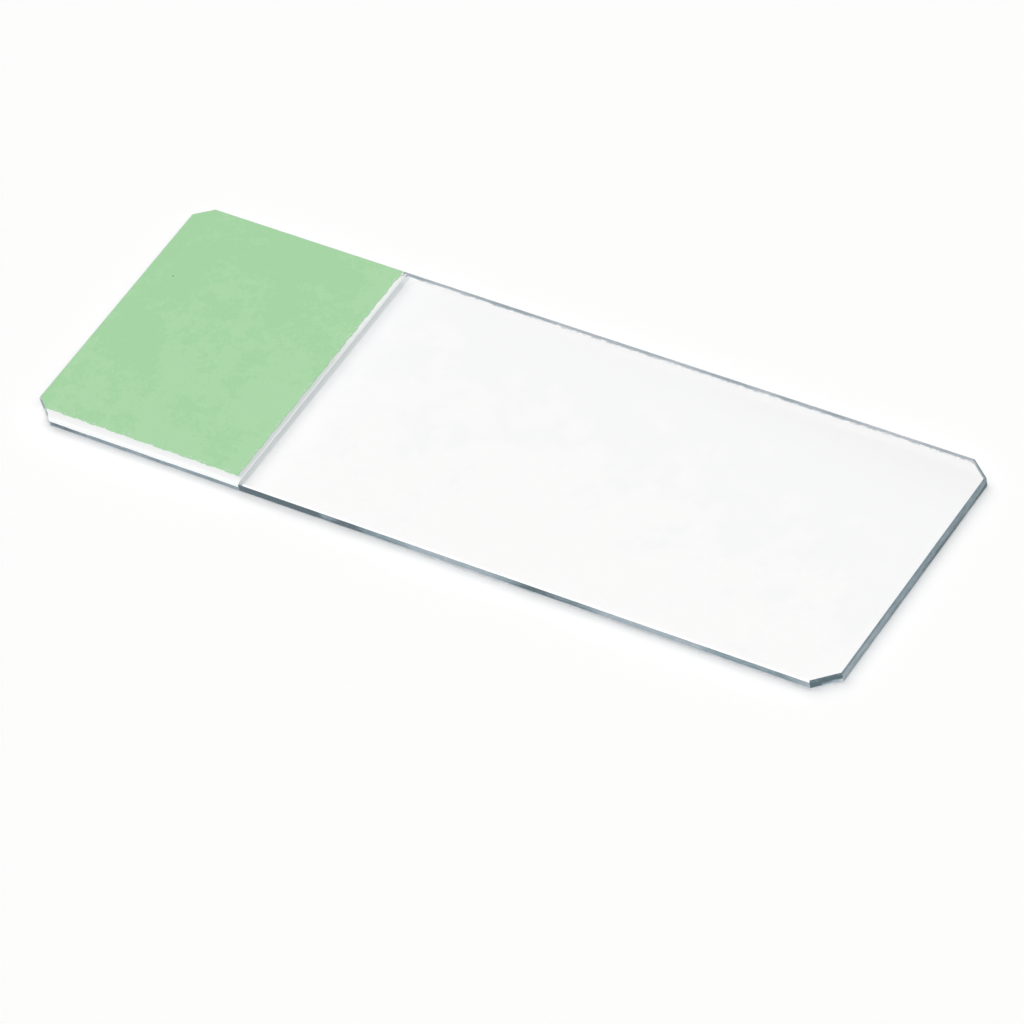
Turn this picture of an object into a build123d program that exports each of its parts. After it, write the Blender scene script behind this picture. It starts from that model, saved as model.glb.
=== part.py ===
"""Microscope slide with clipped corners, seamed edges and a colour-marked end.

Millimetres, +Z up. The slide lies on its underside. The origin is in the plane of the
underside, at the middle of the plate. +X runs along the plate, away from the marked end,
and -Y is the long side where the colour stops short of the edge.
"""

from build123d import *
import os

os.makedirs("parts", exist_ok=True)

# The glass plate
plate_length = 76.0
plate_width = 26.0
plate_thickness = 1.0
seam_bevel = 0.12  # 45 degree grinding of the sharp edges round both faces

# The corners are clipped one at a time, so no two are quite alike.
# Each is given as its setback along the length and its setback along the width.
front_left_clip = (2.1, 1.7)
front_right_clip = (1.95, 1.8)
back_right_clip = (1.9, 1.45)
back_left_clip = (1.6, 1.3)

# The green marking coat runs inward from the plate's end and leaves a margin along the front,
# which is a little wider at the end because the print sits slightly askew
marking_length = 20.3
marking_front_margin_at_end = 0.82
marking_front_margin_inside = 0.69
marking_coat_thickness = 0.05

# The white base coat lies under it from long edge to long edge, and shows as a rim past the colour
base_coat_rim = 0.43
base_coat_thickness = 0.05

# Places worked out from the sizes above
end_x = -plate_length / 2
clear_end_x = plate_length / 2
front_y = -plate_width / 2
back_y = plate_width / 2
base_coat_length = marking_length + base_coat_rim
base_coat_z = plate_thickness
marking_coat_z = base_coat_z + base_coat_thickness


def plate_corners():
    """The eight corners of the plate's outline, anticlockwise from the front left clip."""
    return [
        (end_x + front_left_clip[0], front_y),
        (clear_end_x - front_right_clip[0], front_y),
        (clear_end_x, front_y + front_right_clip[1]),
        (clear_end_x, back_y - back_right_clip[1]),
        (clear_end_x - back_right_clip[0], back_y),
        (end_x + back_left_clip[0], back_y),
        (end_x, back_y - back_left_clip[1]),
        (end_x, front_y + front_left_clip[1]),
    ]


def marking_corners():
    """The four corners that bound the colour; the plate's own edge trims the other sides."""
    return [
        (end_x, front_y + marking_front_margin_at_end),
        (end_x + marking_length, front_y + marking_front_margin_inside),
        (end_x + marking_length, back_y),
        (end_x, back_y),
    ]


# Glass plate: the clipped outline, extruded, with every edge of both faces seamed
with BuildPart() as glass_plate:
    with BuildSketch():
        with BuildLine():
            Polyline(*plate_corners(), close=True)
        make_face()
    extrude(amount=plate_thickness)
    underside = glass_plate.faces().sort_by(Axis.Z)[0]
    upper_face = glass_plate.faces().sort_by(Axis.Z)[-1]
    chamfer(underside.edges() + upper_face.edges(), length=seam_bevel)
glass_plate.part.label = "glass_plate"
export_step(glass_plate.part, "parts/glass_plate.step")

# White base coat: the flat inside the bevels, from the marked end to the rim past the colour
with BuildPart() as white_base_coat:
    with BuildSketch(Plane.XY.offset(base_coat_z)):
        with BuildLine():
            Polyline(*plate_corners(), close=True)
        make_face()
        offset(amount=-seam_bevel, kind=Kind.INTERSECTION, mode=Mode.REPLACE)
        with Locations((end_x, 0)):
            Rectangle(
                base_coat_length,
                plate_width,
                align=(Align.MIN, Align.CENTER),
                mode=Mode.INTERSECT,
            )
    extrude(amount=base_coat_thickness)
white_base_coat.part.label = "white_base_coat"
export_step(white_base_coat.part, "parts/white_base_coat.step")

# Green marking coat: the same flat, cut back to the colour's own bounds
with BuildPart() as green_marking_coat:
    with BuildSketch(Plane.XY.offset(marking_coat_z)):
        with BuildLine():
            Polyline(*plate_corners(), close=True)
        make_face()
        offset(amount=-seam_bevel, kind=Kind.INTERSECTION, mode=Mode.REPLACE)
        with BuildLine():
            Polyline(*marking_corners(), close=True)
        make_face(mode=Mode.INTERSECT)
    extrude(amount=marking_coat_thickness)
green_marking_coat.part.label = "green_marking_coat"
export_step(green_marking_coat.part, "parts/green_marking_coat.step")
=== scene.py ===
"""Microscope slide: the finished look of the glass, its white base coat and its green marking coat.

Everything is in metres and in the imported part's own frame. +X runs along the plate, away from the
marked end, -Y is the long side where the colour stops short of the edge, and +Z is up. Every place
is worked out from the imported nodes, so a piece lies exactly where its node does.
"""

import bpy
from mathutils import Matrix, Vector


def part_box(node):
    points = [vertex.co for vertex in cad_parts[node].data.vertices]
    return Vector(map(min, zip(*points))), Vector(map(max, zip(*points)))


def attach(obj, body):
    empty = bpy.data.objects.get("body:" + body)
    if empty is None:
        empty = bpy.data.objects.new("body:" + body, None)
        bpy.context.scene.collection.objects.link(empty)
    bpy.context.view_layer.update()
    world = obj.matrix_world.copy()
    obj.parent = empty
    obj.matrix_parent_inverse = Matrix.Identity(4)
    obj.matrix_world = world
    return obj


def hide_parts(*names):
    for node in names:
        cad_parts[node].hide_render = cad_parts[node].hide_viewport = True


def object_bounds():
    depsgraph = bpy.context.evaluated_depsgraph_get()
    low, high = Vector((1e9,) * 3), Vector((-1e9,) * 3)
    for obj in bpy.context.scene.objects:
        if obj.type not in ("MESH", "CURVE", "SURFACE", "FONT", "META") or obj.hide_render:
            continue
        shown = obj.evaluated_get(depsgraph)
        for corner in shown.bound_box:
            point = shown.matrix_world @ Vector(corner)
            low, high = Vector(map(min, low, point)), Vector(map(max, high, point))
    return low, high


bl_info = {
    "name": "Microscope Slide",
    "version": (1, 0, 0),
    "blender": (4, 5, 0),
    "location": "View3D > Sidebar > Slide",
    "description": "Glass slide with ground edges and a marking area, on its stage",
    "category": "Add Mesh",
}

import math

import bpy
import numpy as np
from bpy.props import FloatProperty, FloatVectorProperty, PointerProperty
from mathutils import Matrix, Vector

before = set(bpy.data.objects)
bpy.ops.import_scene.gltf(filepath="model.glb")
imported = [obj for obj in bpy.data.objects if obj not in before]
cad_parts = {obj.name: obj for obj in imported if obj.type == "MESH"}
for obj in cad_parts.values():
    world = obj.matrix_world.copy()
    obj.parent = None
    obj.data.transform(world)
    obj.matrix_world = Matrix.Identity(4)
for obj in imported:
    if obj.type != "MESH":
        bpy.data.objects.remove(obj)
cad_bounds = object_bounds()

MM = 0.001
GLASS_NODE = "glass_plate"
BASE_NODE = "white_base_coat"
MARKING_NODE = "green_marking_coat"

# The plate's eight sides, anticlockwise from the clip at the front of the marked end
CLIP_A, FRONT, CLIP_B, CLEAR_END, CLIP_C, BACK, CLIP_D, MARKED_END = range(8)

# Tone of the ground edge, where 0 is the darkest glass and 1 is white: for the upper half of the
# edge, for the lower half and for the seam along the top. Each side lists pairs of a distance
# along the side in millimetres and a tone, which drifts evenly from each pair to the next. The
# tones are partly the glass's own grey and partly painted light and shade: the dark and pale
# stretches, the white seam along the front and the pale clip at the marked end stand for how the
# edge is lit.
UPPER_TONES = {
    CLIP_A: ((0.25, 0.92), (0.35, 0.44), (1.4, 0.48), (1.44, 0.74), (2.6, 0.72)),
    FRONT: (
        (0.3, 0.15), (1.9, 0.1), (3.4, 0.4), (18.6, 0.4), (18.64, -0.2), (25.3, -0.18),
        (26.9, 0.25), (27.7, 0.22), (28.7, -0.02), (29.6, 0.0), (30.8, 0.28), (33.8, 0.36),
        (35.2, 0.58), (41.4, 0.62), (43.2, 0.48), (44.5, 0.32), (46.3, -0.02), (47.2, 0.0),
        (48.8, 0.22), (51.8, 0.3), (53.4, 0.6), (61.8, 0.63), (63.6, 0.34), (67.6, 0.34),
        (69.4, 0.26), (71.93, 0.58),
    ),
    CLIP_B: ((0.02, -0.02), (2.6, 0.0)),
    CLEAR_END: ((0.02, 0.62), (6.0, 0.52), (10.0, 0.4), (16.0, 0.36), (22.0, 0.33), (22.7, 0.28)),
    CLIP_C: ((0.2, 0.42), (2.2, 0.42)),
    BACK: (
        (0.3, 0.74), (3.1, 0.6), (6.1, 0.76), (10.1, 0.74), (13.3, 0.44), (14.8, 0.68),
        (17.6, 0.46), (19.3, 0.76), (22.3, 0.44), (25.6, 0.64), (28.1, 0.76), (30.1, 0.6),
        (34.6, 0.66), (38.1, 0.76), (41.1, 0.48), (44.8, 0.44), (46.1, 0.6), (50.8, 0.7),
        (52.6, 0.44), (53.7, 0.5), (58.0, 0.22), (63.0, 0.5), (66.0, 0.26), (72.0, 0.46),
    ),
    CLIP_D: ((0.1, 0.3), (1.9, 0.22)),
    MARKED_END: (
        (0.2, 0.4), (4.0, 0.26), (7.5, 0.52), (10.0, 0.34), (14.0, 0.56), (17.0, 0.2), (22.7, 0.44),
    ),
}
LOWER_TONES = {
    CLIP_A: ((1.5, 1.08), (1.8, 0.74), (2.6, 0.7)),
    FRONT: (
        (0.2, 0.12), (1.6, 0.08), (2.8, 0.3), (9.0, 0.42), (11.0, 0.28), (13.0, 0.46), (16.0, 0.28),
        (18.6, 0.5), (18.64, -0.22), (25.4, -0.18), (26.9, 0.16), (27.7, 0.06), (28.7, -0.08),
        (29.8, -0.06), (30.9, 0.24), (33.8, 0.28), (35.2, 0.54), (41.4, 0.58), (43.2, 0.42),
        (44.5, 0.28), (45.8, -0.02), (48.8, 0.04), (51.8, 0.27), (53.4, 0.56), (61.8, 0.6),
        (63.6, 0.3), (67.6, 0.3), (69.2, 0.18), (71.93, 0.58),
    ),
    CLIP_B: ((0.02, -0.04), (0.88, -0.02), (0.94, 0.34), (1.6, 0.42), (2.1, 0.6), (2.6, 0.85)),
    CLEAR_END: (
        (0.02, 0.44), (3.0, 0.44), (6.0, 0.34), (9.0, 0.27), (13.0, 0.18), (15.0, 0.06),
        (17.5, 0.1), (19.5, 0.2), (21.0, 0.02), (22.7, -0.08),
    ),
    CLIP_C: ((0.2, 0.6), (2.2, 0.6)),
    BACK: (
        (0.3, 0.98), (53.6, 0.98), (53.7, 0.34), (59.0, 0.12), (62.0, 0.4), (67.0, 0.1),
        (72.0, 0.3),
    ),
    CLIP_D: ((0.1, 0.16), (1.9, 0.1)),
    MARKED_END: (
        (0.2, 0.24), (5.0, 0.1), (8.5, 0.36), (12.0, 0.16), (15.0, 0.4), (18.0, 0.08), (22.7, 0.3),
    ),
}
SEAM_TONES = {
    CLIP_A: ((0.25, 0.92), (0.35, 0.44), (1.4, 0.48), (1.44, 0.76), (2.6, 0.74)),
    FRONT: ((0.2, 1.12), (18.64, 1.12), (18.66, 0.72), (18.98, 0.86), (19.06, 1.12), (71.9, 1.12)),
    CLIP_B: ((0.05, 0.03), (2.5, 0.1)),
    CLEAR_END: ((0.3, 0.33), (22.0, 0.3)),
    CLIP_C: ((0.2, 0.3), (2.2, 0.4)),
    BACK: ((0.3, 0.74), (53.1, 0.6), (53.46, 0.6), (53.5, 0.12), (53.66, 0.12), (53.7, 0.7)),
    MARKED_END: ((0.2, 0.72), (12.0, 0.6), (22.7, 0.72)),
}

# How far up the edge, in millimetres, the lower half reaches
HALF_HEIGHTS = {
    CLIP_A: ((2.6, 0.8),),
    FRONT: ((0.0, 0.5),),
    CLEAR_END: ((22.7, 0.5),),
    BACK: ((0.0, 0.1), (53.7, 0.1), (54.0, 0.5)),
}

# How far up the edge, in millimetres, its pale foot reaches: a painted reflection of the floor
PAINTED_FLOOR_REFLECTION_HEIGHTS = {
    CLIP_A: ((2.6, 0.0),),
    FRONT: ((0.2, 0.18), (18.6, 0.18), (18.7, 0.2), (26.0, 0.21), (35.0, 0.27), (45.0, 0.29)),
    CLIP_B: ((2.0, 0.29), (2.6, 0.0)),
    BACK: ((53.7, 0.0), (54.0, 0.18)),
}
# Tone of the painted floor reflection on the edge's foot
PAINTED_FLOOR_REFLECTION_TONE = 0.87

# Rows of the plate's rings: those where a seam meets a face, and those that bound the ground edge
SEAM_ROWS = (2, 3, 4, 11, 12, 13)
GROUND_ROWS = slice(2, 13)

# Sides of the green coat's outline: those that are printed edges, and those along the plate's edge
PRINTED_SIDES = (1, 2)
PLATE_EDGE_SIDES = (3, 4, 5)

# Each lamp's name and colour, its azimuth, elevation and softness in degrees, and whether it casts
# shadows
WARM_WHITE = (1.015, 0.998, 0.99)
COOL_WHITE = (0.98, 1.0, 1.005)
LAMPS = (
    ("key", WARM_WHITE, 240.0, 59.0, 65.0, True),
    ("back", WARM_WHITE, 112.0, 60.0, 60.0, True),
    ("fill", COOL_WHITE, 22.0, 27.0, 20.0, False),
)
SURROUND_SEEN = 0.99
FLOOR_HALF = 3.0
FLOOR_PAINT = (0.985, 0.985, 0.985, 1)
FLOOR_LIGHT = (0.99, 0.99, 0.99, 1)
FLOOR_LIGHT_STRENGTH = 1.02

# Points of each rounded corner, the rounding of rings well inside a flat face, and how far in, as a
# share of the outline's own rounding, a ring still follows the normals
ARC_POINTS = 7
FACE_RADIUS = 0.5 * MM
NEAR_EDGE = 0.8


# Outlines ---------------------------------------------------------------------------------------


def places_of(node):
    """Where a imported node's corners are."""
    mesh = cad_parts[node].data
    places = np.empty(len(mesh.vertices) * 3)
    mesh.vertices.foreach_get("co", places)
    return places.reshape(-1, 3)


def levels_of(node):
    """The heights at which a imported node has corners, lowest first."""
    return np.unique(np.round(places_of(node)[:, 2], 6))


def corners_at(node, height):
    """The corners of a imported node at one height, anticlockwise round their middle."""
    places = places_of(node)
    level = places[np.abs(places[:, 2] - height) < 0.001 * MM, :2]
    level = np.unique(np.round(level, 7), axis=0)
    from_middle = level - (level.min(axis=0) + level.max(axis=0)) / 2
    return level[np.argsort(np.arctan2(from_middle[:, 1], from_middle[:, 0]))]


def front_edge_of(node):
    """The left and the right end of a coat's front edge."""
    return corners_at(node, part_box(node)[1].z)[1:3]


def sides_of(corners):
    """Outward normal and length of the side that starts at each corner."""
    step = np.roll(corners, -1, axis=0) - corners
    length = np.linalg.norm(step, axis=1)
    outward = np.stack([step[:, 1], -step[:, 0]], axis=1) / length[:, None]
    return outward, length


def mitres_of(corners):
    """The step of each corner when both its sides move outwards by one: the sum of the two
    normals, divided by one plus their dot product."""
    outward, _ = sides_of(corners)
    before = np.roll(outward, 1, axis=0)
    return (before + outward) / (1 + np.sum(before * outward, axis=1))[:, None]


class Outline:
    """A closed outline with rounded corners, and the rings that lie inside and outside it.

    Each corner becomes an arc about a centre one radius in from both its sides, whose normal turns
    evenly from one side's to the next side's. Each side between two arcs is divided evenly, or
    gathered towards its ends: fully gathered, the share of the side is half of one minus the
    cosine of an angle that grows evenly from 0 to 180 degrees.
    """

    def __init__(self, corners, radius, side_points=60, gathered=1.0):
        self.corners = corners
        self.radius = radius
        self.side_points = side_points
        self.gathered = gathered
        self.outward, self.length = sides_of(corners)
        self.points, self.normals = self.rounded(corners, radius)
        self.count = len(self.points)
        self.side = np.repeat(np.arange(len(corners)), ARC_POINTS + side_points)
        self.run = self.runs()

    def shares(self):
        even = np.arange(1, self.side_points + 1) / (self.side_points + 1)
        eased = 0.5 - 0.5 * np.cos(even * math.pi)
        return even + (eased - even) * self.gathered

    def turns(self):
        """The angle of each corner's first normal, and the angle that the corner turns through."""
        before = np.roll(self.outward, 1, axis=0)
        start = np.arctan2(before[:, 1], before[:, 0])
        end = np.arctan2(self.outward[:, 1], self.outward[:, 0])
        return start, (end - start) % (2 * math.pi)

    def rounded(self, corners, radius):
        start, turn = self.turns()
        angle = start[:, None] + turn[:, None] * np.linspace(0, 1, ARC_POINTS)
        arc_normals = np.stack([np.cos(angle), np.sin(angle)], axis=2)
        centre = corners - mitres_of(corners) * radius
        arcs = centre[:, None] + arc_normals * radius
        side_start = arcs[:, -1:]
        side_end = np.roll(arcs[:, :1], -1, axis=0)
        straights = side_start + (side_end - side_start) * self.shares()[:, None]
        side_normals = np.repeat(self.outward[:, None], self.side_points, axis=1)
        points = np.concatenate([arcs, straights], axis=1).reshape(-1, 2)
        normals = np.concatenate([arc_normals, side_normals], axis=1).reshape(-1, 2)
        return points, normals

    def runs(self):
        """Distance of each point along the sharp outline, from the first corner."""
        corner_run = np.concatenate([[0], np.cumsum(self.length)[:-1]])
        _, turn = self.turns()
        reach = self.radius * np.tan(turn / 2)
        arc_run = corner_run[:, None] + reach[:, None] * np.linspace(-1, 1, ARC_POINTS)
        first = corner_run + reach
        last = corner_run + self.length - np.roll(reach, -1)
        side_run = first[:, None] + (last - first)[:, None] * self.shares()
        return np.concatenate([arc_run, side_run], axis=1).reshape(-1)

    def ring(self, inset):
        """The outline moved inwards. Near the edge, or where each point has its own inset, the
        points move along their normals. Further in, the sharp corners slide along their mitres and
        are rounded again."""
        if np.ndim(inset) or inset < self.radius * NEAR_EDGE:
            return self.points - self.normals * np.reshape(inset, (-1, 1))
        moved = self.corners - mitres_of(self.corners) * inset
        return self.rounded(moved, FACE_RADIUS)[0]


def softened(profile, reach):
    """A profile of (inset, height) corners, with each inner corner replaced by three points of the
    parabola that touches both its sides at the given reach."""
    before, here, after = profile[:-2], profile[1:-1], profile[2:]
    back_step = (before - here) / np.linalg.norm(before - here, axis=1)[:, None]
    next_step = (after - here) / np.linalg.norm(after - here, axis=1)[:, None]
    first = here + back_step * reach
    third = here + next_step * reach
    second = first / 4 + here / 2 + third / 4
    middle = np.stack([first, second, third], axis=1).reshape(-1, 2)
    return np.concatenate([profile[:1], middle, profile[-1:]])


def climb(value, start, end):
    """An even climb from 0 where the value is at the start to 1 where it's at the end. Past them
    it holds."""
    return np.clip((value - start) / (end - start), 0, 1)


def waves(run, lengths, seed):
    """Smooth unevenness between about -1 and 1: a sum of sine waves along the run, of the given
    lengths in millimetres, each with its own seeded phase and weaker the shorter it is."""
    phases = np.random.default_rng(seed).uniform(0, 2 * math.pi, len(lengths))
    lengths = np.asarray(lengths) * MM
    weights = np.sqrt(lengths)
    angle = 2 * math.pi * run[:, None] / lengths + phases
    return np.sum(np.sin(angle) * weights, axis=1) / weights.sum()


# Meshes -----------------------------------------------------------------------------------------


def rings_to_object(name, rings, materials, row_slots, outline):
    """A closed solid from rings stacked outwards along its underside, upwards, and back in along
    its top. Neighbouring rings are joined by one row of quads, and the first and last rings are
    filled by triangles about their own middle. The UV map holds the run round the outline and the
    height."""
    rows, count = rings.shape[:2]
    index = np.arange(rows * count).reshape(rows, count)
    beside = np.roll(index, -1, axis=1)
    quads = np.stack([index[:-1], beside[:-1], beside[1:], index[1:]], axis=2).reshape(-1, 4)
    middle = np.repeat(index.size, count)
    under = np.stack([middle, beside[0], index[0]], axis=1)
    over = np.stack([middle + 1, index[-1], beside[-1]], axis=1)
    faces = quads.tolist() + under.tolist() + over.tolist()
    middles = rings[[0, -1]].mean(axis=1)
    mesh = bpy.data.meshes.new(name)
    mesh.from_pydata(np.concatenate([rings.reshape(-1, 3), middles]).tolist(), [], faces)
    for material in materials:
        mesh.materials.append(material)
    slots = np.repeat([*row_slots, row_slots[0], row_slots[-1]], count)
    mesh.polygons.foreach_set("material_index", slots.astype("i"))
    mesh.polygons.foreach_set("use_smooth", np.ones(len(faces), dtype=bool))
    share = outline.run / outline.length.sum()
    mesh.uv_layers.new(name="run_and_height").data.foreach_set(
        "uv", run_and_height(rings, share).ravel().astype("f")
    )
    mesh.update()
    mesh.validate()
    piece = bpy.data.objects.new(name, mesh)
    bpy.context.collection.objects.link(piece)
    return piece


def run_and_height(rings, share):
    """UV corners, face by face: across is the share of the way round, and up is the height."""
    next_share = np.append(share[1:], share[0] + 1)
    height = rings[:, :, 2] / MM
    left = np.broadcast_to(share, height.shape)
    right = np.broadcast_to(next_share, height.shape)
    beside = np.roll(height, -1, axis=1)
    corners = [
        np.stack([left[:-1], height[:-1]], axis=2),
        np.stack([right[:-1], beside[:-1]], axis=2),
        np.stack([right[1:], beside[1:]], axis=2),
        np.stack([left[1:], height[1:]], axis=2),
    ]
    quads = np.stack(corners, axis=2).reshape(-1, 2)
    this, after = np.stack([share, next_share])[:, :, None]
    under = np.concatenate([this, after, this], axis=1)
    over = np.concatenate([this, this, after], axis=1)
    fans = np.stack([under, over])
    levels = np.broadcast_to(height[[0, -1], 0, None, None], fans.shape)
    return np.concatenate([quads, np.stack([fans, levels], axis=3).reshape(-1, 2)])


def stack(outline, insets, heights):
    """Rings of an outline at the given insets, each lifted to its height. An inset or a height may
    be one number for the whole ring or one for each of its points."""
    flat = [outline.ring(inset) for inset in insets]
    lifted = [
        np.column_stack([ring, np.broadcast_to(height, outline.count)])
        for ring, height in zip(flat, heights)
    ]
    return np.array(lifted)


# Materials --------------------------------------------------------------------------------------


# A Mix node's places for its two colours and for their mix
MIX_COLOURS = (6, 7)
MIX_RESULT = 2


class Finish:
    """A material being put together from nodes."""

    def __init__(self, name):
        self.material = bpy.data.materials.new(name)
        self.material.use_nodes = True
        self.tree = self.material.node_tree
        self.tree.nodes.clear()
        self.place = self.add("ShaderNodeTexCoord").outputs["Object"]

    def add(self, kind, inputs=None, **settings):
        """Adds a node. An input is a plain value, or another node's output to link."""
        made = self.tree.nodes.new(kind)
        for name, value in settings.items():
            setattr(made, name, value)
        for name, value in (inputs or {}).items():
            if isinstance(value, bpy.types.NodeSocket):
                self.tree.links.new(value, made.inputs[name])
            else:
                made.inputs[name].default_value = value
        return made

    def maths(self, operation, first, second, clamp=False):
        made = self.add("ShaderNodeMath", {0: first, 1: second}, operation=operation)
        made.use_clamp = clamp
        return made.outputs[0]

    def axis(self, name):
        """Distance along one of the part's axes, in metres."""
        return self.add("ShaderNodeSeparateXYZ", {"Vector": self.place}).outputs[name]

    def noise(self, scale, detail=4.0, roughness=0.5, stretch=(1, 1, 1), shift=(0, 0, 0)):
        """Cloudy noise on the part's own axes, centred on 0.5. The scale is per metre."""
        moves = {"Vector": self.place, "Location": shift, "Scale": stretch}
        moved = self.add("ShaderNodeMapping", moves).outputs[0]
        inputs = {"Vector": moved, "Scale": scale, "Detail": detail, "Roughness": roughness}
        return self.add("ShaderNodeTexNoise", inputs).outputs["Fac"]

    def spread(self, value, low, high, to_low=0.0, to_high=1.0, smooth=True):
        """Maps low..high onto to_low..to_high and holds the ends."""
        names = ("Value", "From Min", "From Max", "To Min", "To Max")
        inputs = dict(zip(names, (value, low, high, to_low, to_high)))
        kind = "SMOOTHSTEP" if smooth else "LINEAR"
        return self.add("ShaderNodeMapRange", inputs, interpolation_type=kind).outputs[0]

    def ramp(self, factor, stops):
        """A colour ramp from (position, colour) stops."""
        made = self.add("ShaderNodeValToRGB", {"Fac": factor})
        elements = made.color_ramp.elements
        while len(elements) < len(stops):
            elements.new(0.5)
        for element, (position, colour) in zip(elements, stops):
            element.position = position
            element.color = (*tuple(colour)[:3], 1.0)
        return made.outputs["Color"]

    def blend(self, factor, first, second):
        """Mixes two colours."""
        made = self.add("ShaderNodeMix", {"Factor": factor}, data_type="RGBA")
        for place, value in zip(MIX_COLOURS, (first, second)):
            socket = made.inputs[place]
            if isinstance(value, bpy.types.NodeSocket):
                self.tree.links.new(value, socket)
            else:
                socket.default_value = (*tuple(value)[:3], 1.0)
        return made.outputs[MIX_RESULT]

    def bump(self, height, depth, strength):
        inputs = {"Height": height, "Distance": depth, "Strength": strength}
        return self.add("ShaderNodeBump", inputs).outputs["Normal"]

    def surface(self, colour, roughness, others):
        """A Principled shader."""
        inputs = {"Base Color": colour, "Roughness": roughness, **others}
        return self.add("ShaderNodeBsdfPrincipled", inputs).outputs[0]

    def mixed(self, factor, first, second):
        """A Mix Shader."""
        made = self.add("ShaderNodeMixShader", {0: factor, 1: first, 2: second})
        return made.outputs[0]

    def ray(self, name):
        return self.add("ShaderNodeLightPath").outputs[name]

    def show(self, shader):
        self.add("ShaderNodeOutputMaterial", {"Surface": shader})
        return self.material


def display(colour):
    """Linear light for a colour given as eight-bit display values."""
    value = np.asarray(colour, dtype=float) / 255
    linear = np.where(value > 0.04045, ((value + 0.055) / 1.055) ** 2.4, value / 12.92)
    return tuple(float(part) for part in linear)


def clear_glass(settings, front, back, rim_x):
    """Polished clear glass with a faint cool haze that lies over it in clouds. It's clearest along
    the front edge and greyest towards the back of the clear end, and painted light lifts it back
    to clear close to the long edges. Past the base coat's rim it carries a painted shadow, a grey
    band that fades outwards. Lamps shine straight through it, so what lies under it is lit."""
    finish = Finish("clear_glass")
    x, y = finish.axis("X"), finish.axis("Y")
    clouds = finish.noise(210.0, detail=10.0, roughness=0.78)
    across = finish.spread(y, front, back, 0.10, -0.13, smooth=False)
    along = finish.spread(x, 10 * MM, 38 * MM, 0.0, -0.05, smooth=False)
    drift = finish.maths("ADD", finish.maths("ADD", clouds, across), along)
    tint = finish.blend(
        finish.spread(drift, 0.45, 0.51), settings.haze_colour, settings.clear_colour
    )
    grain = finish.noise(5200.0, detail=2.0, roughness=0.7)
    far = finish.maths(
        "ADD",
        finish.spread(x, -20 * MM, 38 * MM, 0.0, 0.75, smooth=False),
        finish.spread(y, 2 * MM, 13 * MM, -0.6, 0.55, smooth=False),
    )
    greyer = finish.spread(finish.maths("ADD", far, grain), 1.0, 1.75)
    tint = finish.blend(greyer, tint, settings.grey_colour)
    # Painted light: the glass lifts back to clear close to the front and back edges
    painted_edge_light = finish.maths(
        "MAXIMUM",
        finish.spread(y, front + 0.62 * MM, front + 0.52 * MM),
        finish.spread(y, back - 1.2 * MM, back - 0.6 * MM, 0.0, 0.9),
    )
    tint = finish.blend(painted_edge_light, tint, settings.painted_edge_light_colour)
    # Painted shadow of the base coat on the glass past its rim: grey close to the rim, fading
    # outwards, stopping short of the back edge
    from_rim = finish.maths("SUBTRACT", x, rim_x)
    painted_rim_shadow = finish.maths(
        "ADD",
        finish.spread(from_rim, 0.62 * MM, 0.34 * MM, 0.0, 0.90),
        finish.spread(from_rim, 1.6 * MM, 0.50 * MM, 0.0, 0.10),
    )
    past_rim = finish.maths("GREATER_THAN", from_rim, 0.0)
    past_rim = finish.maths("MULTIPLY", past_rim, finish.spread(finish.axis("Z"), 0.4 * MM, 0.6 * MM))
    short_of_back = finish.spread(y, back - 0.30 * MM, back - 0.45 * MM)
    painted_rim_shadow = finish.maths("MULTIPLY", finish.maths("MULTIPLY", painted_rim_shadow, past_rim), short_of_back)
    tint = finish.blend(painted_rim_shadow, tint, settings.rim_shadow_colour)
    glass = finish.surface(tint, 0.0, {"IOR": settings.refraction, "Transmission Weight": 1.0})
    open_way = finish.add("ShaderNodeBsdfTransparent").outputs[0]
    for_lamps = finish.mixed(finish.ray("Is Shadow Ray"), glass, open_way)
    return finish.show(finish.mixed(finish.ray("Is Diffuse Ray"), for_lamps, open_way))


def tones_along(finish, way_round, outline, tones):
    """The edge's tone at a share of the way round: it starts at the first mark's tone, and drifts
    evenly from each mark's to the next."""
    start = np.concatenate([[0], np.cumsum(outline.length)[:-1]])
    perimeter = float(outline.length.sum())
    marks = [
        (float(start[side] + distance * MM) / perimeter, tone)
        for side, listed in sorted(tones.items())
        for distance, tone in listed
    ]
    total = marks[0][1]
    for (here, tone), (there, next_tone) in zip(marks, marks[1:]):
        if next_tone != tone:
            climb = finish.spread(way_round, here, there, 0.0, next_tone - tone, smooth=False)
            total = finish.maths("ADD", climb, total)
    return total


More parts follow.
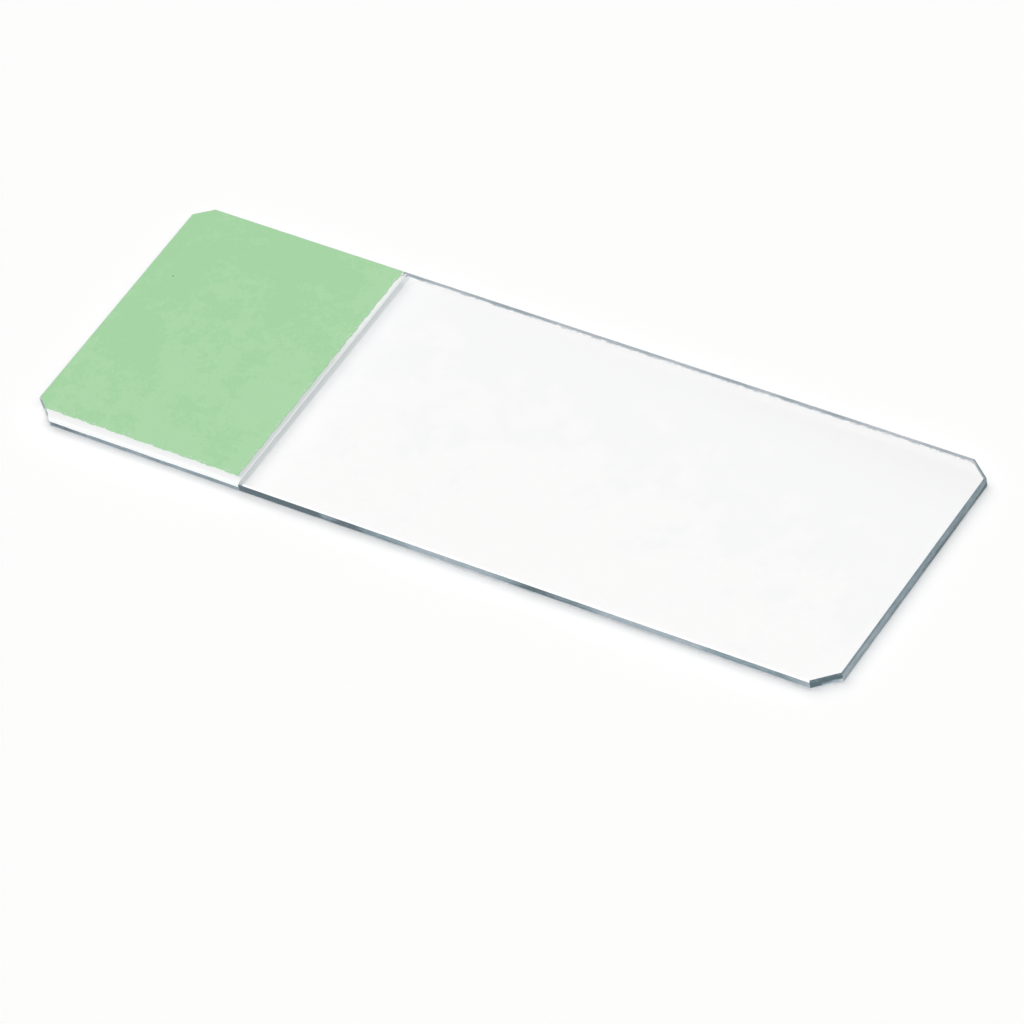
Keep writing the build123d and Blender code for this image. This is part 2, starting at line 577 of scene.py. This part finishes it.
def ground_glass(settings, outline):
    """Ground glass edge: cool grey that drifts from dark to pale along the edge, finely mottled.
    The drift is partly the glass's own grey and partly painted light and shade, and the pale foot
    is a painted reflection of the floor. Light inside the plate passes out through it, and light
    from outside doesn't pass in."""
    finish = Finish("ground_glass")
    uv = finish.add("ShaderNodeUVMap", uv_map="run_and_height").outputs[0]
    parts = finish.add("ShaderNodeSeparateXYZ", {"Vector": uv})
    # Tones along the edge, partly the glass's own grey and partly painted light and shade
    upper = tones_along(finish, parts.outputs["X"], outline, UPPER_TONES)
    lower = tones_along(finish, parts.outputs["X"], outline, LOWER_TONES)
    seam = tones_along(finish, parts.outputs["X"], outline, SEAM_TONES)
    cloud = finish.noise(700.0, detail=5.0, roughness=0.6, stretch=(1, 1, 3))
    height = finish.maths("ADD", parts.outputs["Y"], finish.spread(cloud, 0.3, 0.7, -0.07, 0.07))
    split = tones_along(finish, parts.outputs["X"], outline, HALF_HEIGHTS)
    half = finish.spread(finish.maths("SUBTRACT", height, split), -0.09, 0.09)
    along = finish.blend(half, lower, upper)
    # Painted reflection of the floor on the edge's pale foot
    floor_reflection_height = tones_along(finish, parts.outputs["X"], outline, PAINTED_FLOOR_REFLECTION_HEIGHTS)
    above_floor_reflection = finish.spread(
        finish.maths("SUBTRACT", parts.outputs["Y"], floor_reflection_height), -0.03, 0.03
    )
    along = finish.blend(above_floor_reflection, (PAINTED_FLOOR_REFLECTION_TONE,) * 3, along)
    on_seam = finish.spread(parts.outputs["Y"], 0.86, 0.90)
    along = finish.blend(on_seam, along, seam)
    mottle = finish.noise(2600.0, detail=3.0, roughness=0.7, stretch=(1, 1, 2), shift=(3, 1, 2))
    most = settings.edge_mottle
    uneven = finish.maths(
        "ADD",
        finish.spread(cloud, 0.25, 0.75, -most, most),
        finish.spread(mottle, 0.25, 0.75, -most, most),
    )
    uneven = finish.maths("MULTIPLY", uneven, finish.spread(above_floor_reflection, 0, 1, 0.35, 1.0, smooth=False))
    tone = finish.maths("ADD", along, uneven, clamp=True)
    colour = finish.ramp(
        tone,
        (
            (0.0, settings.edge_dark),
            (0.35, settings.edge_middle),
            (0.65, settings.edge_light),
            (0.82, settings.edge_pale),
            (1.0, settings.edge_white),
        ),
    )
    grain = finish.bump(mottle, 0.01 * MM, 0.35)
    glass = finish.surface(colour, 0.42, {"IOR": settings.refraction, "Normal": grain})
    open_way = finish.add("ShaderNodeBsdfTransparent").outputs[0]
    inside = finish.add("ShaderNodeNewGeometry").outputs["Backfacing"]
    outward_only = finish.mixed(inside, glass, open_way)
    for_lamps = finish.mixed(finish.ray("Is Shadow Ray"), glass, outward_only)
    return finish.show(finish.mixed(finish.ray("Is Diffuse Ray"), for_lamps, outward_only))


def base_enamel(settings, rim_x, edge_of_colour):
    """Matt white enamel. On the rim beside the colour it carries painted shade, greyer towards the
    front, with a painted highlight along the raised edge of the rim. Along the front it carries a
    painted shadow that darkens towards the colour, whose edge there runs between the two given
    points."""
    finish = Finish("white_enamel")
    x, y = finish.axis("X"), finish.axis("Y")
    (start_x, start_y), (end_x, end_y) = edge_of_colour
    edge_y = finish.spread(x, start_x, end_x, start_y, end_y, smooth=False)
    past_colour = finish.maths("SUBTRACT", edge_y, y)
    from_rim = finish.maths("SUBTRACT", rim_x, x)
    on_rim = finish.maths(
        "MULTIPLY",
        finish.spread(from_rim, 0.62 * MM, 0.50 * MM),
        finish.spread(past_colour, 0.16 * MM, -0.04 * MM),
    )
    # Painted highlight along the rim's raised bead
    on_bead = finish.spread(from_rim, 0.14 * MM, 0.09 * MM)
    ragged = finish.noise(1500.0, detail=3.0, roughness=0.6)
    # Painted shade on the rim beside the colour: darker towards the front, lighter towards the back
    towards_back = finish.spread(
        finish.maths("ADD", y, finish.spread(ragged, 0.3, 0.7, -1.2 * MM, 1.2 * MM)),
        -2.0 * MM,
        9.0 * MM,
    )
    painted_rim_shade = finish.blend(towards_back, settings.rim_front_colour, settings.rim_back_colour)
    beside_colour = finish.spread(from_rim, 0.30 * MM, 0.36 * MM)
    spots = finish.maths("MULTIPLY", tiny_spots(finish, 1900.0, 0.22), beside_colour)
    painted_rim_shade = finish.blend(spots, painted_rim_shade, settings.spot_colour)
    rim = finish.blend(on_bead, painted_rim_shade, settings.painted_bead_highlight)
    cloud = finish.noise(420.0, detail=5.0, roughness=0.6)
    uneven = finish.spread(cloud, 0.3, 0.7, -0.06 * MM, 0.06 * MM)
    # Painted shadow of the colour's edge on the white margin along the front
    painted_colour_shadow = finish.spread(finish.maths("ADD", past_colour, uneven), 0.42 * MM, 0.05 * MM)
    whites = finish.blend(painted_colour_shadow, settings.coat_colour, settings.painted_shadow_white)
    under_colour = finish.spread(past_colour, -0.05 * MM, -0.12 * MM)
    whites = finish.blend(under_colour, whites, settings.border_colour)
    colour = finish.blend(on_rim, whites, rim)
    grain = finish.noise(9000.0, detail=2.0)
    roughness = finish.spread(cloud, 0.3, 0.7, 0.48, 0.6)
    tooth = finish.bump(grain, 0.002 * MM, 0.3)
    return finish.show(finish.surface(colour, roughness, {"Normal": tooth}))


def tiny_spots(finish, scale, share):
    """Round spots at random places on the top, with the given share of the places taken. The scale
    is the number of places in a metre."""
    places = finish.add(
        "ShaderNodeTexVoronoi", {"Vector": finish.place, "Scale": scale}, voronoi_dimensions="2D"
    )
    chance = finish.add("ShaderNodeSeparateColor", {"Color": places.outputs["Color"]}).outputs[0]
    taken = finish.maths("LESS_THAN", chance, share)
    return finish.maths("MULTIPLY", finish.spread(places.outputs["Distance"], 0.22, 0.14), taken)


def marking_enamel(settings, edge_of_colour, right_x):
    """Matt green enamel made to be written on: two close tones in fine drifting mottle, lighter
    towards the front and the plate's middle, with a fine tooth. Tiny pale chips lie along its front
    and inner edges, and there's one dark speck."""
    finish = Finish("green_enamel")
    x, y = finish.axis("X"), finish.axis("Y")
    drift = finish.noise(230.0, detail=12.0, roughness=0.80)
    fine = finish.noise(4200.0, detail=2.0, roughness=0.6, shift=(5, 2, 0))
    drift = finish.maths("ADD", drift, finish.spread(fine, 0.3, 0.7, -0.035, 0.035))
    across = finish.spread(y, -13 * MM, 13 * MM, 0.045, -0.035, smooth=False)
    along = finish.spread(x, -38 * MM, -17.7 * MM, -0.03, 0.03, smooth=False)
    tone = finish.maths("ADD", finish.maths("ADD", drift, across), along)
    colour = finish.blend(
        finish.spread(tone, 0.475, 0.535), settings.shade_colour, settings.main_colour
    )
    grain = finish.noise(7000.0, detail=3.0, roughness=0.6)
    grained = finish.blend(
        finish.spread(grain, 0.35, 0.65, 0.0, 0.35), colour, settings.shade_colour
    )
    (start_x, start_y), (end_x, end_y) = edge_of_colour
    edge_y = finish.spread(x, start_x, end_x, start_y, end_y, smooth=False)
    near_edge = finish.maths(
        "MAXIMUM",
        finish.spread(finish.maths("SUBTRACT", y, edge_y), 0.46 * MM, 0.34 * MM),
        finish.spread(x, right_x - 0.30 * MM, right_x - 0.22 * MM),
    )
    chips = finish.maths("MULTIPLY", tiny_spots(finish, 2400.0, 0.45), near_edge)
    chipped = finish.blend(chips, grained, settings.chip_colour)
    speck_x, speck_y = settings.speck_place
    aside = finish.maths("SUBTRACT", x, speck_x)
    ahead = finish.maths("SUBTRACT", y, speck_y)
    distance = finish.maths(
        "ADD", finish.maths("MULTIPLY", aside, aside), finish.maths("MULTIPLY", ahead, ahead)
    )
    speck = finish.spread(distance, (0.09 * MM) ** 2, (0.05 * MM) ** 2)
    specked = finish.blend(speck, chipped, settings.speck_colour)
    roughness = finish.spread(drift, 0.3, 0.7, 0.55, 0.68)
    tooth = finish.bump(grain, 0.003 * MM, 0.3)
    return finish.show(finish.surface(specked, roughness, {"Normal": tooth}))


# Settings ---------------------------------------------------------------------------------------


def size(name, description, millimetres):
    """A length setting, kept in metres."""
    metres = millimetres * MM
    return FloatProperty(
        name=name, description=description, default=metres, precision=6, unit="LENGTH"
    )


def rotation(name, description, degrees):
    """An angle setting, kept in radians."""
    turn = math.radians(degrees)
    return FloatProperty(name=name, description=description, default=turn, unit="ROTATION")


def amount(name, description, default):
    """A setting from 0 upwards, where 1 is the whole."""
    return FloatProperty(name=name, description=description, default=default, min=0.0)


def shade(name, description, default):
    """A colour setting, in linear light."""
    return FloatVectorProperty(
        name=name, description=description, default=default, subtype="COLOR"
    )


class StageSettings(bpy.types.PropertyGroup):
    """Camera, lamps and floor."""

    azimuth: rotation("Azimuth", "Turn of the camera round the slide", 40.608)
    elevation: rotation("Elevation", "Camera's height above the floor", 45.3)
    roll: rotation("Roll", "Camera's tilt about its own axis", -12.446)
    distance: size("Distance", "Camera to its aim", 637.683)
    aim: FloatVectorProperty(
        name="Aim",
        description="Where the camera looks",
        default=(4.344 * MM, -6.037 * MM, 0.0),
        subtype="XYZ",
        unit="LENGTH",
    )
    lens: FloatProperty(name="Lens", description="Focal length", default=282.35, unit="CAMERA")
    floor_gap: size("Floor gap", "Space under the slide", 0.02)
    ambient: amount("Ambient", "Even light from all round", 0.04)
    key: amount("Key", "Light that the key lamp gives a level face", 0.39)
    back: amount("Back", "Light that the back lamp gives a level face", 0.28)
    fill: amount("Fill", "Light that the fill lamp gives a level face", 0.295)
    floor_glow: amount("Floor glow", "Share of the floor that shadows don't reach", 0.03)


class GlassSettings(bpy.types.PropertyGroup):
    """The glass plate."""

    corner_radius: size("Corner radius", "Rounding of the outline's corners", 0.22)
    edge_softness: size("Edge softness", "Rounding between the faces and the seams", 0.022)
    seam_unevenness: size("Seam unevenness", "How much the seam's width varies", 0.006)
    refraction: FloatProperty(name="Refraction", description="Refractive index", default=1.517)
    edge_mottle: amount("Edge mottle", "Unevenness of the edge's tone", 0.09)
    clear_colour: shade("Clear", "Glass without haze", (0.998, 0.998, 0.999))
    haze_colour: shade("Haze", "Glass where it's hazy", (0.968, 0.975, 0.984))
    grey_colour: shade("Grey", "Glass at its greyest", (0.930, 0.934, 0.944))
    # Painted light on the glass close to the long edges
    painted_edge_light_colour: shade("Edge line", "Glass close to the long edges", (0.999, 0.999, 0.999))
    # Painted shadow on the glass beside the base coat's rim
    rim_shadow_colour: shade("Film", "Glass beside the rim", (0.60, 0.655, 0.65))
    # Ramp of the edge's tones, which carry painted light and shade as well as the glass's own grey
    edge_dark: shade("Edge dark", "Darkest tone of the edge", display((74, 92, 100)))
    edge_middle: shade("Edge middle", "Middle tone of the edge", display((127, 145, 153)))
    edge_light: shade("Edge light", "Light tone of the edge", display((158, 169, 177)))
    edge_pale: shade("Edge pale", "Pale tone of the edge", display((180, 184, 190)))
    edge_white: shade("Edge white", "Palest tone of the edge", (0.97, 0.975, 0.975))


class BaseCoatSettings(bpy.types.PropertyGroup):
    """The white base coat."""

    corner_radius: size("Corner radius", "Rounding of the outline's corners", 0.18)
    lap_depth: size("Lap depth", "How far the coat runs down the edge, below the seam", 0.27)
    lap_thickness: size("Lap thickness", "Thickness of the coat on the glass edge", 0.022)
    rim_shortfall: size("Rim shortfall", "How far the rim stops short of the back edge", 0.28)
    bead_height: size("Bead height", "Rise of the bead along the rim", 0.018)
    coat_colour: shade("Coat", "White of the coat", (0.900, 0.906, 0.908))
    # Painted shadow on the white beside the colour's front edge
    painted_shadow_white: shade("Coat shade", "White beside the colour", (0.845, 0.858, 0.864))
    # Painted shade on the rim, near the front and near the back
    rim_front_colour: shade("Rim front", "Rim near the front", display((206, 212, 212)))
    rim_back_colour: shade("Rim back", "Rim near the back", display((238, 240, 240)))
    spot_colour: shade("Spots", "Tiny marks on the rim", display((182, 187, 193)))
    border_colour: shade("Border", "Line past the colour's outer edges", display((205, 207, 214)))
    # Painted highlight along the rim's bead
    painted_bead_highlight: shade("Bead", "Line along the rim's edge", display((228, 231, 231)))


class MarkingSettings(bpy.types.PropertyGroup):
    """The green marking coat."""

    corner_radius: size("Corner radius", "Rounding of the outline's corners", 0.08)
    border: size("Border", "Width of base coat that shows past the outer edges", 0.05)
    raggedness: size("Raggedness", "Unevenness of the printed edge", 0.09)
    main_colour: shade("Green", "Main green", display((170, 214, 169)))
    shade_colour: shade("Shade", "Darker green of the mottle", display((162, 209, 161)))
    chip_colour: shade("Chips", "Tiny chips near the edges", display((208, 214, 214)))
    speck_colour: shade("Speck", "One dark speck", display((110, 150, 115)))
    speck_place: FloatVectorProperty(
        name="Speck place",
        description="Where the speck lies",
        default=(-35.3 * MM, 4.8 * MM),
        size=2,
        precision=6,
        unit="LENGTH",
    )


# Operators --------------------------------------------------------------------------------------


def direction(azimuth, elevation):
    """Unit vector that points up and out at the given angles. Azimuth 0 is towards -Y, and it
    grows towards +X."""
    flat = math.cos(elevation)
    return Vector((math.sin(azimuth) * flat, -math.cos(azimuth) * flat, math.sin(elevation)))


def camera_axes(stage):
    """Right, up and back directions of the camera: back points from the aim to the camera, and the
    roll turns right and up about it."""
    back = direction(stage.azimuth, stage.elevation)
    level_right = Vector((0, 0, 1)).cross(back).normalized()
    level_up = back.cross(level_right)
    right = level_right * math.cos(stage.roll) + level_up * math.sin(stage.roll)
    up = level_up * math.cos(stage.roll) - level_right * math.sin(stage.roll)
    return right, up, back


def add_camera(stage):
    right, up, back = camera_axes(stage)
    data = bpy.data.cameras.new("camera")
    data.lens = stage.lens
    data.clip_start = 0.01
    data.clip_end = 20.0
    camera = bpy.data.objects.new("camera", data)
    bpy.context.collection.objects.link(camera)
    turn = Matrix((right, up, back)).transposed().to_4x4()
    camera.matrix_world = Matrix.Translation(Vector(stage.aim) + back * stage.distance) @ turn
    bpy.context.scene.camera = camera


def add_sun(name, level, colour, azimuth, elevation, softness, shadows):
    """A sun lamp that gives a level white face the stated share of full white, and isn't mirrored
    in the glass."""
    data = bpy.data.lights.new(name, "SUN")
    towards = direction(math.radians(azimuth), math.radians(elevation))
    data.energy = level * math.pi / towards.z
    data.color = colour
    data.angle = math.radians(softness)
    data.use_shadow = shadows
    lamp = bpy.data.objects.new(name, data)
    lamp.visible_glossy = False
    lamp.visible_transmission = False
    bpy.context.collection.objects.link(lamp)
    lamp.rotation_euler = towards.to_track_quat("Z", "Y").to_euler()


def add_world(stage):
    """An even surround: white where it's seen, in the glass or past it, and dimmer as a light."""
    world = bpy.data.worlds.new("surround")
    bpy.context.scene.world = world
    world.use_nodes = True
    tree = world.node_tree
    tree.nodes.clear()
    path = tree.nodes.new("ShaderNodeLightPath")
    seen = path.outputs["Is Camera Ray"]
    for name in ("Is Glossy Ray", "Is Transmission Ray"):
        either = tree.nodes.new("ShaderNodeMath")
        either.operation = "MAXIMUM"
        tree.links.new(seen, either.inputs[0])
        tree.links.new(path.outputs[name], either.inputs[1])
        seen = either.outputs[0]
    strength = tree.nodes.new("ShaderNodeMapRange")
    strength.inputs["To Min"].default_value = stage.ambient
    strength.inputs["To Max"].default_value = SURROUND_SEEN
    tree.links.new(seen, strength.inputs["Value"])
    background = tree.nodes.new("ShaderNodeBackground")
    tree.links.new(strength.outputs[0], background.inputs["Strength"])
    output = tree.nodes.new("ShaderNodeOutputWorld")
    tree.links.new(background.outputs[0], output.inputs["Surface"])


def floor_material(stage):
    """Near-white floor: part of what is seen of it glows, so that only a faint shadow stays. It
    can be seen through from below."""
    finish = Finish("floor")
    paint = finish.add("ShaderNodeBsdfDiffuse", {"Color": FLOOR_PAINT}).outputs[0]
    glow = finish.add(
        "ShaderNodeEmission", {"Color": FLOOR_LIGHT, "Strength": FLOOR_LIGHT_STRENGTH}
    ).outputs[0]
    glowing = finish.maths("MULTIPLY", finish.ray("Is Camera Ray"), stage.floor_glow)
    finish.material.cycles.emission_sampling = "NONE"
    seen = finish.mixed(glowing, paint, glow)
    from_below = finish.add("ShaderNodeNewGeometry").outputs["Backfacing"]
    open_way = finish.add("ShaderNodeBsdfTransparent").outputs[0]
    return finish.show(finish.mixed(from_below, seen, open_way))


def add_floor(stage):
    height = cad_bounds[0].z - stage.floor_gap
    mesh = bpy.data.meshes.new("floor")
    quarters = ((-1, -1), (1, -1), (1, 1), (-1, 1))
    corners = [(x * FLOOR_HALF, y * FLOOR_HALF, height) for x, y in quarters]
    mesh.from_pydata(corners, [], [(0, 1, 2, 3)])
    mesh.materials.append(floor_material(stage))
    floor = bpy.data.objects.new("floor", mesh)
    bpy.context.collection.objects.link(floor)


def plate_profile(seam, thickness, softness):
    """Inset and height of each of the plate's rings: from the middle of the underside out to the
    lower seam, up the ground edge, and in over the upper seam to the middle of the top. Every
    corner is softened."""
    lower = np.array([(3 * seam, 0), (seam, 0), (0, seam)])
    upper = lower[::-1] * (1, -1) + (0, thickness)
    middle = np.array([(1.6 * MM, 0)])
    edge = softened(np.concatenate([lower, upper]), softness)
    return np.concatenate([middle, edge, middle + (0, thickness)])


def seam_wave(outline, rim_x, most):
    """Unevenness of the seam's width, which fades out where the base coat covers it."""
    wave = waves(outline.run, (0.9, 1.7, 4.1, 9.3), seed=7)
    return wave * climb(outline.points[:, 0], rim_x, rim_x + 0.5 * MM) * most


def lap_share(outline, margin_y, rim_x):
    """How fully the base coat laps over the edge at each point: 1 along the front, and 0 past the
    rim and away from the front."""
    x, y = outline.points.T
    at_front = climb(y, margin_y - 0.40 * MM, margin_y - 0.55 * MM)
    return at_front * climb(x, rim_x, rim_x - 0.08 * MM) ** 2


def back_shortfall(outline, colour_x, back_y, most):
    """How far the base coat stops short of the back edge: nothing up to the colour's end, and the
    most soon past it."""
    x, y = outline.points.T
    past_colour = climb(x, colour_x + 0.03 * MM, colour_x + 0.09 * MM)
    return past_colour * (y > back_y - 0.10 * MM) * most


def base_coat_rows(outline, settings, low, high, seam):
    """The base coat's rings. Each row has an inset and a height where the coat laps over the edge,
    and then an inset and a height where it stops short of it."""
    x = outline.points[:, 0]
    wave = waves(outline.run, (0.7, 1.6, 3.7, 8.1), seed=3)
    deeper = climb(x, low.x + 1.9 * MM, low.x + 1.4 * MM) * 0.4 * MM
    depth = settings.lap_depth * (1 + 0.12 * wave) + deeper
    bead = settings.bead_height * climb(x, high.x - 0.03 * MM, high.x)
    face_middle, gap, thickness = 1.0 * MM, 0.004 * MM, settings.lap_thickness
    under, top = low.z + 0.002 * MM, high.z
    wall = -seam - gap
    skin = wall - thickness
    wall_top = low.z - seam
    foot = wall_top - depth
    return (
        (face_middle, under, face_middle, under),
        (0.02 * MM, under, 0.02 * MM, under),
        (-gap, under - gap, 0.0, under + 0.004 * MM),
        (wall, wall_top, -0.003 * MM, under + 0.008 * MM),
        (wall, foot, -0.005 * MM, under + 0.012 * MM),
        ((wall + skin) / 2, foot - 0.008 * MM, -0.006 * MM, under + 0.018 * MM),
        (skin, foot + 0.02 * MM, -0.005 * MM, under + 0.026 * MM),
        (skin, wall_top - 0.02 * MM, -0.003 * MM, under + 0.034 * MM),
        (-seam * 0.8 - thickness, wall_top + seam * 0.5, 0.002 * MM, top - 0.006 * MM),
        (-seam * 0.3, top - 0.02 * MM, 0.010 * MM, top + bead * 0.4),
        (0.02 * MM, top - 0.003 * MM, 0.030 * MM, top + bead * 0.9),
        (0.05 * MM, top, 0.055 * MM, top + bead),
        (0.09 * MM, top, 0.085 * MM, top + bead * 0.7),
        (0.13 * MM, top, 0.115 * MM, top + bead * 0.1),
        (0.17 * MM, top, 0.150 * MM, top),
        (face_middle, top, face_middle, top),
    )


def printed_wave(outline, settings):
    """Unevenness of the green coat's edge: ragged where it's printed, calmer elsewhere, and held
    in by the border along the plate's edge."""
    wave = waves(outline.run, (0.21, 0.31, 0.47, 0.9, 2.3), seed=11) * settings.raggedness
    wave = np.where(np.isin(outline.side, PRINTED_SIDES), wave, wave * 0.3)
    return wave + np.isin(outline.side, PLATE_EDGE_SIDES) * settings.border


def finish_piece(piece, node):
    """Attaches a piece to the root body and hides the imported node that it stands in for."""
    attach(piece, "root")
    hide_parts(node)


class SLIDE_OT_stage(bpy.types.Operator):
    """Sets up the camera, the lamps, the surround and the floor"""

    bl_idname = "slide.stage"
    bl_label = "Stage"

    def execute(self, context):
        stage = context.scene.slide_stage
        context.scene.view_settings.view_transform = "Standard"
        add_camera(stage)
        add_world(stage)
        add_floor(stage)
        for name, *looks in LAMPS:
            add_sun(name, getattr(stage, name), *looks)
        return {"FINISHED"}


class SLIDE_OT_glass(bpy.types.Operator):
    """Makes the glass plate with its seamed and ground edges"""

    bl_idname = "slide.glass"
    bl_label = "Glass plate"

    def execute(self, context):
        settings = context.scene.slide_glass
        levels = levels_of(GLASS_NODE)
        seam = levels[1] - levels[0]
        thickness = levels[-1]
        outline = Outline(corners_at(GLASS_NODE, levels[1]), settings.corner_radius)
        profile = plate_profile(seam, thickness, settings.edge_softness)
        rim_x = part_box(BASE_NODE)[1].x
        wave = seam_wave(outline, rim_x, settings.seam_unevenness)
        insets = list(profile[:, 0])
        for row in SEAM_ROWS:
            insets[row] = insets[row] + wave
        clear, ground = 0, 1
        slots = np.full(len(profile) - 1, clear)
        slots[GROUND_ROWS] = ground
        low, high = cad_bounds
        piece = rings_to_object(
            "glass_plate_piece",
            stack(outline, insets, profile[:, 1]),
            [clear_glass(settings, low.y, high.y, rim_x), ground_glass(settings, outline)],
            slots,
            outline,
        )
        finish_piece(piece, GLASS_NODE)
        return {"FINISHED"}


class SLIDE_OT_base_coat(bpy.types.Operator):
    """Makes the white base coat, with the lap over the glass edge and the beaded rim"""

    bl_idname = "slide.base_coat"
    bl_label = "White base coat"

    def execute(self, context):
        settings = context.scene.slide_base_coat
        low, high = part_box(BASE_NODE)
        outline = Outline(corners_at(BASE_NODE, low.z), settings.corner_radius, side_points=130)
        start, end = front_edge_of(MARKING_NODE)
        lapped = lap_share(outline, max(start[1], end[1]), high.x)
        rows = base_coat_rows(outline, settings, low, high, levels_of(GLASS_NODE)[1])
        insets = [lapped * lap + (1 - lapped) * rim for lap, _, rim, _ in rows[1:-1]]
        insets = [rows[0][0]] + insets + [rows[-1][0]]
        heights = [lapped * lap + (1 - lapped) * rim for _, lap, _, rim in rows]
        rings = stack(outline, insets, heights)
        rings[1:-1, :, 1] -= back_shortfall(outline, end[0], high.y, settings.rim_shortfall)
        piece = rings_to_object(
            "white_base_coat_piece",
            rings,
            [base_enamel(settings, high.x, (start, end))],
            np.zeros(len(rows) - 1, dtype=int),
            outline,
        )
        finish_piece(piece, BASE_NODE)
        return {"FINISHED"}


class SLIDE_OT_marking_coat(bpy.types.Operator):
    """Makes the green marking coat with its slightly ragged printed edge"""

    bl_idname = "slide.marking_coat"
    bl_label = "Green marking coat"

    def execute(self, context):
        settings = context.scene.slide_marking
        low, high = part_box(MARKING_NODE)
        corners = corners_at(MARKING_NODE, high.z)
        outline = Outline(corners, settings.corner_radius, side_points=420, gathered=0.0)
        wave = printed_wave(outline, settings)
        under, top = low.z + 0.002 * MM, high.z
        rows = (
            (0.8 * MM, under),
            (0.01 * MM, under),
            (0.0, under + 0.01 * MM),
            (0.002 * MM, top - 0.02 * MM),
            (0.01 * MM, top - 0.006 * MM),
            (0.03 * MM, top),
            (0.045 * MM, top),
            (0.8 * MM, top),
        )
        insets = [rows[0][0]] + [inset + wave for inset, _ in rows[1:-1]] + [rows[-1][0]]
        piece = rings_to_object(
            "green_marking_coat_piece",
            stack(outline, insets, [height for _, height in rows]),
            [marking_enamel(settings, front_edge_of(MARKING_NODE), high.x)],
            np.zeros(len(rows) - 1, dtype=int),
            outline,
        )
        finish_piece(piece, MARKING_NODE)
        return {"FINISHED"}


class SLIDE_PT_panel(bpy.types.Panel):
    """Lists the steps that make the slide"""

    bl_idname = "SLIDE_PT_panel"
    bl_label = "Microscope slide"
    bl_space_type = "VIEW_3D"
    bl_region_type = "UI"
    bl_category = "Slide"

    def draw(self, context):
        for step in STEPS:
            self.layout.operator(step.bl_idname)


STEPS = (SLIDE_OT_stage, SLIDE_OT_glass, SLIDE_OT_base_coat, SLIDE_OT_marking_coat)
SETTINGS = {
    "slide_stage": StageSettings,
    "slide_glass": GlassSettings,
    "slide_base_coat": BaseCoatSettings,
    "slide_marking": MarkingSettings,
}
CLASSES = (*SETTINGS.values(), *STEPS, SLIDE_PT_panel)


def register():
    for kind in CLASSES:
        bpy.utils.register_class(kind)
    for name, group in SETTINGS.items():
        setattr(bpy.types.Scene, name, PointerProperty(type=group))


def unregister():
    for name in SETTINGS:
        delattr(bpy.types.Scene, name)
    for kind in reversed(CLASSES):
        bpy.utils.unregister_class(kind)


def main():
    register()
    bpy.ops.slide.stage()
    bpy.ops.slide.glass()
    bpy.ops.slide.base_coat()
    bpy.ops.slide.marking_coat()
    bpy.context.view_layer.update()


if __name__ == "__main__":
    main()
